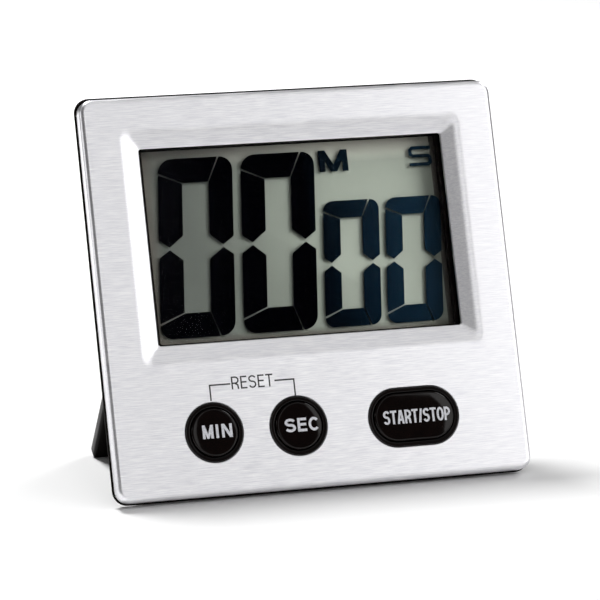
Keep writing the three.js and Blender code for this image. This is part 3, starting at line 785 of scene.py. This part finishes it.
def word(text, left, right, low, high, weight, gap):
    """A word's letters side by side between left and right, as one mesh in the case frame."""
    space = right - left - gap * (len(text) - 1)
    unit = space / sum(LETTER_WIDTHS[letter] for letter in text)
    bm = bmesh.new()
    x = left
    for letter in text:
        width = LETTER_WIDTHS[letter] * unit
        mesh = letter_mesh(letter, width, high - low, weight)
        mesh.transform(Matrix.Translation((x, low, 0)))
        bm.from_mesh(mesh)
        x += width + gap
    return tidy_mesh(bm)


def lay(mesh, depth_at, proud=0.03, buried=0.05, pitch=0.4):
    """Lays flat lettering on a surface: z 1 goes just above it, and z 0 just under."""
    bm = bmesh.new()
    bm.from_mesh(mesh)
    for axis in (0, 1):
        normal = Vector((1 - axis, axis, 0))
        values = [vertex.co[axis] for vertex in bm.verts]
        level = min(values) + pitch
        while level < max(values):
            everything = [*bm.verts, *bm.edges, *bm.faces]
            bmesh.ops.bisect_plane(bm, geom=everything, plane_co=normal * level, plane_no=normal)
            level += pitch
    bm.to_mesh(mesh)
    bm.free()
    for vertex in mesh.vertices:
        surface = -depth_at(vertex.co.x, vertex.co.y)
        vertex.co.z = surface + (proud if vertex.co.z > 0.5 else -buried)
    return mesh


def crown_of(key_x, straight):
    """The depth of a key cap's top, as a function of x and y."""
    def depth_at(x, y):
        reach = max(abs(x - key_x) - straight, 0)
        return cap_depth(math.hypot(reach, y - KEY_Y))

    return depth_at


# The text, then its left, right, low and high edges, the pen's weight and the gap of letters.
LEGENDS = {
    "min_key": ("MIN", -23.3, -17.65, -26.8, -24.3, 0.5, 0.5),
    "sec_key": ("SEC", -7.6, -0.95, -26.85, -24.35, 0.48, 0.36),
    "start_stop_key": ("START/STOP", 11.45, 24.6, -26.95, -24.4, 0.4, 0.1),
}
for key, (text, left, right, low, high, weight, gap) in LEGENDS.items():
    legend = lay(word(text, left, right, low, high, weight, gap), crown_of(*KEYS[key]))
    piece(f"{key}_legend", legend, WHITE_INK, key, smooth=30)


def reset_print():
    """The word over the two small keys, and the bracket that ties them together."""
    bracket_y = -17.05
    lines = [
        [(-16.95, bracket_y), (-20.9, bracket_y), (-20.9, -19.9)],
        [(-8.5, bracket_y), (-4.8, bracket_y), (-4.8, -20.15)],
    ]
    bm = bmesh.new()
    for line in lines:
        bm.from_mesh(stroke(line, 0.28))
    bm.from_mesh(word("RESET", -16.75, -8.8, -18.1, -15.75, 0.27, 0.3))
    return lay(tidy_mesh(bm), lambda x, y: 0.0, proud=0.012, buried=0.03)


piece("reset_print", reset_print(), BLACK_INK, "case", smooth=30)

# ---- display


SLANT = math.tan(math.radians(4.9))


def zero_digit(left, low, width, height, pen, corner):
    """The six lit segments of a 0: mitred at the corners, pointed at the waist, leaning right."""
    seam, point_gap = 0.17, 0.25
    side_seam = 0.6 * pen
    middle = height / 2
    tip = 0.44 * pen
    outer_rise, inner_rise = 0.315 * pen, 0.445 * pen

    def corner_arc(cx, cy, start):
        return arc(cx, cy, corner, corner, start, start - 90, 6)

    top = [(seam, height - side_seam + seam), *corner_arc(corner, height - corner, 180)]
    top += [(width - side_seam - seam, height), (width - pen - seam, height - pen)]
    top += [(pen + 0.8 * seam, height - pen)]
    upper_left = [(0, height - side_seam - seam), (pen, height - pen - seam)]
    upper_left += [(pen, middle + point_gap + inner_rise), (tip, middle + point_gap)]
    upper_left += [(0, middle + point_gap + outer_rise)]
    upper_right = [(width - side_seam + seam, height)]
    upper_right += corner_arc(width - corner, height - corner, 90)
    upper_right += [(width, middle + point_gap + outer_rise), (width - tip, middle + point_gap)]
    upper_right += [(width - pen, middle + point_gap + inner_rise), (width - pen, height - pen)]

    def flipped(outline):
        return [(x, height - y) for x, y in outline]

    outlines = [top, upper_left, upper_right]
    outlines += [flipped(outline) for outline in outlines]
    return [[(left + x + SLANT * y, low + y) for x, y in outline] for outline in outlines]


# Each digit's left edge, width, height, pen and corner radius.
DIGITS = {
    "digit_minutes_tens": (-27.5, 14.35, 33.5, 4.6, 2.6),
    "digit_minutes_ones": (-11.5, 14.35, 33.5, 4.6, 2.6),
    "digit_seconds_tens": (4.4, 11.0, 23.8, 3.3, 1.9),
    "digit_seconds_ones": (16.7, 11.0, 23.8, 3.3, 1.9),
}
DIGIT_LOW = -7.4
CRYSTAL_FRONT, CRYSTAL_BACK = 5.9, 5.98
CRYSTAL = dark_crystal()
for name, (left, width, height, pen, corner) in DIGITS.items():
    outlines = zero_digit(left, DIGIT_LOW, width, height, pen, corner)
    plate = polygon_plate(outlines, CRYSTAL_FRONT, CRYSTAL_BACK)
    piece(name, plate, CRYSTAL, "case", smooth=30)


def flat_mark(mesh, x=0.0, y=0.0):
    """A lettering mesh with z from 0 to 1, as a flat crystal mark."""
    thickness = CRYSTAL_BACK - CRYSTAL_FRONT
    mesh.transform(Matrix.Translation((x, y, -CRYSTAL_BACK)) @ Matrix.Diagonal((1, 1, thickness, 1)))
    return mesh


minutes_mark = flat_mark(letter_mesh("M", 5.7, 4.1, 1.15), 6.5, 22.0)
piece("mark_minutes", minutes_mark, CRYSTAL, "case")

seconds_path = [
    (28.8, 25.6), (25.2, 25.6), (24.75, 25.2), (24.75, 24.4), (25.2, 24.05), (28.2, 24.05),
    (28.6, 23.7), (28.6, 22.8), (28.2, 22.45), (24.4, 22.45),
]
piece("mark_seconds", flat_mark(stroke(seconds_path, 0.62)), CRYSTAL, "case")


def pane(front, back, low, high, half_width, corner=0.3, edge=0.05):
    """A sheet with finely rounded edges, between two depths and two heights."""
    return slab(
        half_width, (high - low) / 2, corner, front, back, y=(high + low) / 2,
        round_front=edge, round_back=edge, steps=4,
    )


CELL_GLASS = clear_sheet("lcd_glass", (0.965, 0.98, 0.965), 0.04, 0.06, 1.03)
piece(
    "lens", pane(1.95, 2.95, -10.7, 29.0, 31.0, 0.8, 0.12), ACRYLIC, "case",
    stands_for=["display_lens"],
)
# The polariser and both glasses are cemented to one block, with the crystal inside it.
cell = add(
    pane(5.1, 5.95, -14.2, 28.2, 30.8),
    pane(4.95, 5.2, -10.9, 27.8, 30.2),
    pane(5.8, 6.7, -11.2, 28.2, 30.8),
)
piece(
    "display_cell", cell, CELL_GLASS, "case",
    stands_for=["lcd_front_polariser", "lcd_front_glass", "lcd_rear_glass"],
)
piece(
    "reflector", pane(6.8, 6.95, -10.9, 27.8, 30.2, 0.3, 0.02), display_reflector(), "case",
    stands_for=["lcd_reflector"],
)
# Painted shadow: a dark brown strip under the display's right edge, where the well's right wall shades
# the film.
WALL_SHADOW_PAINT = spotted("painted_wall_shadow", (0.085, 0.074, 0.066), (0.11, 0.097, 0.087), 4.0, 0.5, 0.7)
wall_shadow_strip = block(0.62, -10.9, 27.8, 6.74, 6.79, 0.02, x=29.52)
piece("painted_wall_shadow", wall_shadow_strip, WALL_SHADOW_PAINT, "case")

# ---- stand


STAND_HALF, FOOT_HALF, BLADE_HALF = 34.2, 35.0, 1.2
HEEL, PIN_RADIUS, FOOT_CORNER = 1.6, 0.8, 1.4
FOOT_FLAT, FOOT_DEPTH = 0.7, -0.08


def table_reach():
    """How far down the blade, from its hinge, the foot's flat meets the table."""
    start = STAND @ Vector((0, 0, -FOOT_DEPTH))
    per_mm = (STAND @ Vector((0, -1, -FOOT_DEPTH)) - start).z
    return -start.z / per_mm - FOOT_FLAT


def stand_blade():
    """The fold-out leg: a plate with rounded edges and foot corners, its heel and hinge pins."""
    length = table_reach()
    edge = 0.55

    def level(half_width, reach):
        return [(x, z, -y) for x, y, z in ring(half_width, BLADE_HALF, edge, reach, steps=5)]

    rings = [level(STAND_HALF, -HEEL), level(STAND_HALF, 0)]
    for angle in quarter(8):
        half_width = FOOT_HALF - FOOT_CORNER * (1 - math.cos(angle))
        rings.append(level(half_width, length + FOOT_FLAT - FOOT_CORNER * (1 - math.sin(angle))))
    half, clear = BLADE_HALF, BLADE_HALF + 0.1
    foot = -length - FOOT_FLAT
    side = [(-clear, HEEL), (-clear, foot + FOOT_FLAT + 0.07), (-half, foot + FOOT_FLAT)]
    side += [(FOOT_DEPTH, foot), (0.35, foot), (0.8, foot + 0.3), (clear, foot + 1.4)]
    side += [(clear, 0), (half, 0)]
    side += arc(half - HEEL, 0, HEEL, HEEL, 0, 90, 10)[1:]
    blade = common(loft(rings), bar(side, -40, 40))
    return add(blade, bar(oval(0, 0, PIN_RADIUS, PIN_RADIUS), -35.9, 35.9))


piece(
    "stand_blade", stand_blade(), STAND_BLACK, "stand",
    place=STAND, stands_for=["stand"], smooth=40,
)

# ---- rear case

WALL = 1.5
MAGNETS = [(-25.0, 27.0), (25.0, 27.0)]
MAGNET_RADIUS, MAGNET_FRONT = 4.0, 11.7
DOOR_RADIUS, DOOR_LUG, LUG_SPAN, LUG_TURN = 11.0, 12.4, 22, 40
LUGS = (90, 210, 330)
BUZZER = (-24.5, 11.5)
# The gap round the door and the stand, and a depth past the back for cutters to reach.
PLAY, PAST = 0.3, 15


def screw_seat(y):
    """The depth that a case screw's head sits at: deeper in the thick upper half."""
    return 11.3 if y > 0 else 9.3


def sector(inner, outer, centre, span, front, back):
    """A piece of a flat ring about the battery, between two angles and two depths."""
    start, end = centre - span / 2, centre + span / 2
    outline = arc(0, CELL_Y, outer, outer, start, end, 12)
    outline += arc(0, CELL_Y, inner, inner, end, start, 12)
    return polygon_plate([outline], front, back)


def hinge_ear(side):
    """The ear that holds the stand's pin at the left, side -1, or the right."""
    low = HINGE_Y - 2.4
    section = [(THIN - 1, STEP_Y + 1), (THIN - 1, low), (THIN, low)]
    section += arc(THIN + 0.2, HINGE_Y + 0.2, 2.6, 2.6, -90, 0, 10)
    section += [(THICK, STEP_Y + 1)]
    inner, outer = sorted((side * (STAND_HALF + PLAY), side * (CASE_HALF_WIDTH - 0.02)))
    return bar(section, inner, outer)


def rear_case():
    """The back moulding: a thick upper half, a thinner lower one behind which the stand folds."""
    corner, front = 2.2, 4.6
    upper_mid, upper_half = (CASE_HALF_HEIGHT + STEP_Y) / 2, (CASE_HALF_HEIGHT - STEP_Y) / 2
    whole = slab(CASE_HALF_WIDTH, CASE_HALF_HEIGHT, corner, front, THIN, round_back=0.5)
    upper = slab(
        CASE_HALF_WIDTH, upper_half, corner, front, THICK, y=upper_mid,
        round_back=0.6, low_corner=0.5,
    )
    inside = CASE_HALF_WIDTH - WALL
    shell = cut(
        add(whole, upper),
        block(inside, STEP_Y + WALL, CASE_HALF_HEIGHT - WALL, 0, THICK - WALL, 1.0),
        block(inside, WALL - CASE_HALF_HEIGHT, CASE_HALF_HEIGHT - WALL, 0, THIN - WALL, 1.0),
    )
    posts = [
        round_slab(2.6, 9.3 if y > 0 else 7.8, screw_seat(y) + 0.6, x, y) for x, y in CASE_SCREWS
    ]
    seats = [round_slab(MAGNET_RADIUS + 1.1, 10.6, THICK - 1, x, y) for x, y in MAGNETS]
    buzzer_ring = cut(
        round_slab(7.4, 11.9, THICK - 1, *BUZZER), round_slab(6.0, 0, THICK - WALL, *BUZZER)
    )
    cup = round_slab(13.9, 8.3, THICK - 1, 0, CELL_Y)
    body = add(shell, cup, buzzer_ring, hinge_ear(-1), hinge_ear(1), *posts, *seats)
    cuts = [round_hole(1.15, 5, PAST, x, y) for x, y in CASE_SCREWS]
    cuts += [
        round_hole(2.3, screw_seat(y), THICK if y > 0 else THIN, x, y, 0.25) for x, y in CASE_SCREWS
    ]
    cuts += [round_hole(MAGNET_RADIUS + 0.15, 11.55, THICK, x, y, 0.2) for x, y in MAGNETS]
    pin = oval(HINGE_DEPTH, HINGE_Y, PIN_RADIUS + 0.06, PIN_RADIUS + 0.06)
    cuts += [bar(pin, *ends) for ends in ((-36.1, -33), (33, 36.1))]
    floor, low = 10.6, HINGE_Y - HEEL
    groove = [(floor, STEP_Y), (floor, low), (HINGE_DEPTH, low), (HINGE_DEPTH, STEP_Y)]
    cuts.append(bar(groove, -STAND_HALF - PLAY, STAND_HALF + PLAY))
    cell_room = round_slab(10.35, 9.2, PAST, 0, CELL_Y)
    lug_channel = round_slab(DOOR_LUG + PLAY, 12.5, 13.45, 0, CELL_Y)
    doorway = round_hole(DOOR_RADIUS + PLAY, 12.5, THICK, 0, CELL_Y, 0.25, steps=16)
    contact_slots = [
        block(2.1, CELL_Y - 15, CELL_Y - 8, 9.2, 9.8),
        block(1.6, CELL_Y - 3, CELL_Y + 3, 9.2, 12.5, x=11.0),
        block(2.0, CELL_Y - 1.4, CELL_Y + 1.4, 9.2, 9.9, x=13.0),
    ]
    cuts += [cell_room, lug_channel, doorway, *contact_slots]
    cuts += [
        sector(DOOR_RADIUS, DOOR_LUG + PLAY, angle + LUG_TURN, LUG_SPAN * 1.2, 12.6, PAST)
        for angle in LUGS
    ]
    sound = [(0, 0)] + arc(0, 0, 3.2, 3.2, 0, 300, 5)
    cuts += [
        round_hole(0.8, 12, THICK, BUZZER[0] + x, BUZZER[1] + y, 0.15, steps=6) for x, y in sound
    ]
    return cut(body, *cuts)


piece("rear_shell", rear_case(), HOUSING, "case", stands_for=["rear_case"])


def turn_arrow():
    """The raised arrow that shows which way the battery door turns open."""
    head = polygon_plate([[(-6.4, 5.9), (-8.3, 4.7), (-7.0, 3.2)]], -1, 0)
    arrow = add(stroke(arc(0, 0, 8.6, 8.6, 108, 146, 10), 0.5), head)
    arrow.transform(Matrix.Translation((0, CELL_Y, -THICK - 0.1)) @ Matrix.Diagonal((1, 1, 0.3, 1)))
    return arrow


def battery_door():
    """The twist-off cover: a disc with a coin slot and three lugs that lock under the case."""
    cover = round_slab(DOOR_RADIUS, 13.0, THICK, 0, CELL_Y, round_back=0.25, steps=16)
    lugs = [sector(10.4, DOOR_LUG, angle, LUG_SPAN, 12.75, 13.15) for angle in LUGS]
    slot = hole(6.5, 0.9, 0.85, THICK - 0.65, THICK, 0, CELL_Y, 0.2)
    return cut(add(cover, turn_arrow(), *lugs), slot)


piece(
    "twist_door", battery_door(), HOUSING, "battery_door",
    stands_for=["battery_door"],
)


def magnet(x, y):
    """A ferrite disc with chamfered edges."""
    profile = [(3.7, MAGNET_FRONT), (MAGNET_RADIUS, MAGNET_FRONT + 0.3)]
    profile += [(MAGNET_RADIUS, 13.65), (3.75, 13.9)]
    return turned(profile, x, y)


def case_screw(x, y):
    """A Phillips screw with a domed head, from its tip to its drive."""
    seat, head, height, shank, length = screw_seat(y), 2.0, 1.2, 0.85, 5.6
    tip = seat - length
    profile = [(0.1, tip), (0.5 * shank, tip + 0.1), (shank, tip + 0.9), (shank, seat + 0.1)]
    profile += [(head, seat + 0.1), (head, seat + 0.45 * height), (0.93 * head, seat + 0.72 * height)]
    profile += [(0.75 * head, seat + 0.92 * height), (0.4 * head, seat + height), (0.05, seat + height)]
    floor, arm, thin = seat + 0.45 * height, 0.6 * head, 0.2
    across = block(arm, y - thin, y + thin, floor, PAST, x=x)
    upright = block(thin, y - arm, y + arm, floor, PAST, x=x)
    return cut(turned(profile, x, y), across, upright)


for side, (magnet_x, magnet_y) in zip(("left", "right"), MAGNETS):
    piece(
        f"ferrite_{side}", magnet(magnet_x, magnet_y), FERRITE, "case",
        stands_for=[f"magnet_{side}"],
    )
for number, (screw_x, screw_y) in enumerate(CASE_SCREWS, 1):
    piece(
        f"screw_{number}", case_screw(screw_x, screw_y), ZINC, "case",
        stands_for=[f"case_screw_{number}"],
    )

# ---- other CAD nodes

INNER = {
    "lcd_retainer": HOUSING,
    "zebra_strip": striped("zebra_layers", (0.62, 0.63, 0.64), (0.04, 0.04, 0.045), 2.0, 0.5, 0.7),
    "circuit_board": spotted("solder_mask", (0.02, 0.13, 0.05), (0.035, 0.19, 0.075), 0.8, 0.25, 0.4),
    "chip_blob": spotted("glob_top", (0.006, 0.006, 0.007), (0.014, 0.014, 0.015), 1.5, 0.2, 0.4),
    "crystal": spotted("tinned_can", (0.62, 0.63, 0.64), (0.72, 0.73, 0.74), 1.5, 0.2, 0.34, 1.0),
    "coin_cell": spotted("cell_nickel", (0.66, 0.66, 0.665), (0.78, 0.78, 0.785), 0.4, 0.16, 0.3, 1.0),
    "buzzer_plate": spotted("buzzer_brass", (0.66, 0.47, 0.17), (0.78, 0.59, 0.26), 0.7, 0.22, 0.38, 1.0),
    "buzzer_ceramic": spotted("piezo_ceramic", (0.70, 0.67, 0.6), (0.79, 0.77, 0.7), 1.2, 0.4, 0.6),
}
SPRING = spotted("nickel_spring", (0.64, 0.64, 0.63), (0.76, 0.76, 0.75), 1.0, 0.2, 0.35, 1.0)
RED = spotted("red_insulation", (0.40, 0.015, 0.015), (0.52, 0.03, 0.03), 2.0, 0.4, 0.55)
BLACK = spotted("black_insulation", (0.012, 0.012, 0.013), (0.03, 0.03, 0.032), 2.0, 0.4, 0.55)
CHIP = spotted("chip_ceramic", (0.40, 0.33, 0.25), (0.50, 0.42, 0.33), 3.0, 0.4, 0.6)
FAMILIES = {
    "board_screw": ZINC, "negative_contact": SPRING, "positive_contact": SPRING,
    "wire_red": RED, "wire_black": BLACK, "capacitor": CHIP,
}
for name, node in frame["nodes"].items():
    material = INNER.get(name)
    for part, family in FAMILIES.items():
        if part in name:
            material = family
    if material:
        node.data.materials.clear()
        node.data.materials.append(material)

# ---- stage, light and camera


def stage_floor():
    """A white floor that reaches far past the picture."""
    size = 3.0
    mesh = bpy.data.meshes.new("floor")
    corners = [(-size, -size, 0), (size, -size, 0), (size, size, 0), (-size, size, 0)]
    mesh.from_pydata(corners, [], [(0, 1, 2, 3)])
    made = Nodes("floor_white")
    made.set(base_color=(0.94, 0.94, 0.94, 1), roughness=0.9, specular_ior_level=0.1)
    mesh.materials.append(made.material)
    floor = bpy.data.objects.new("floor", mesh)
    bpy.context.scene.collection.objects.link(floor)


def softbox(name, azimuth, elevation, distance, width, height, radiance, aim=None, spread=180):
    """A soft lamp seen from the timer at an azimuth to the right of straight ahead, in degrees."""
    lamp = bpy.data.lights.new(name, "AREA")
    lamp.shape = "RECTANGLE"
    lamp.size, lamp.size_y = width, height
    lamp.energy = radiance * math.pi * width * height
    lamp.spread = math.radians(spread)
    made = bpy.data.objects.new(name, lamp)
    turn, lift = math.radians(azimuth), math.radians(elevation)
    away = Vector(
        (math.sin(turn) * math.cos(lift), -math.cos(turn) * math.cos(lift), math.sin(lift))
    )
    made.location = PANEL_CENTRE + away * distance
    made.rotation_euler = (-Vector(aim) if aim else away).to_track_quat("Z", "Y").to_euler()
    bpy.context.scene.collection.objects.link(made)


def studio():
    """White all round. The lamps in front leave a dark gap where the panel mirrors the camera."""
    world = bpy.data.worlds.new("studio")
    world.use_nodes = True
    world.node_tree.nodes["Background"].inputs["Color"].default_value = (1, 1, 1, 1)
    world.node_tree.nodes["Background"].inputs["Strength"].default_value = 0.1
    bpy.context.scene.world = world
    # Azimuth, elevation, distance, width, height and radiance.
    softbox("key", 47, 21, 0.9, 0.66, 0.60, 2.1)
    softbox("front", 1, 24, 0.9, 0.22, 0.66, 1.6)
    softbox("front_top", 19, 64, 1.0, 0.7, 0.5, 0.82)
    softbox("rear_top", -160, 61, 1.0, 0.26, 0.23, 28.5, aim=(0, 0, -1), spread=110)
    softbox("right_side", 106, 42, 0.9, 0.3, 0.3, 7.5)
    softbox("left_strip", -95, 12, 0.8, 0.12, 0.3, 4.5)
    bpy.context.scene.view_settings.view_transform = "Standard"


def camera():
    """The viewer's camera: to the timer's left, a little above, with a long lens."""
    yaw, drop = math.radians(17.85), math.radians(12.57)
    forward = Vector(
        (math.sin(yaw) * math.cos(drop), math.cos(yaw) * math.cos(drop), -math.sin(drop))
    )
    right = Vector((math.cos(yaw), -math.sin(yaw), 0))
    up = right.cross(forward)
    data = bpy.data.cameras.new("camera")
    data.sensor_width = 36
    data.lens = 206.05
    data.clip_start, data.clip_end = 0.05, 20
    made = bpy.data.objects.new("camera", data)
    bpy.context.scene.collection.objects.link(made)
    turn = Matrix((right, up, -forward)).transposed().to_4x4()
    aside, below, behind = 1.58, 2.65, 634.11
    place = PANEL_CENTRE - (right * aside + up * below + forward * behind) * MM
    made.matrix_world = Matrix.Translation(place) @ turn
    bpy.context.scene.camera = made


stage_floor()
studio()
camera()
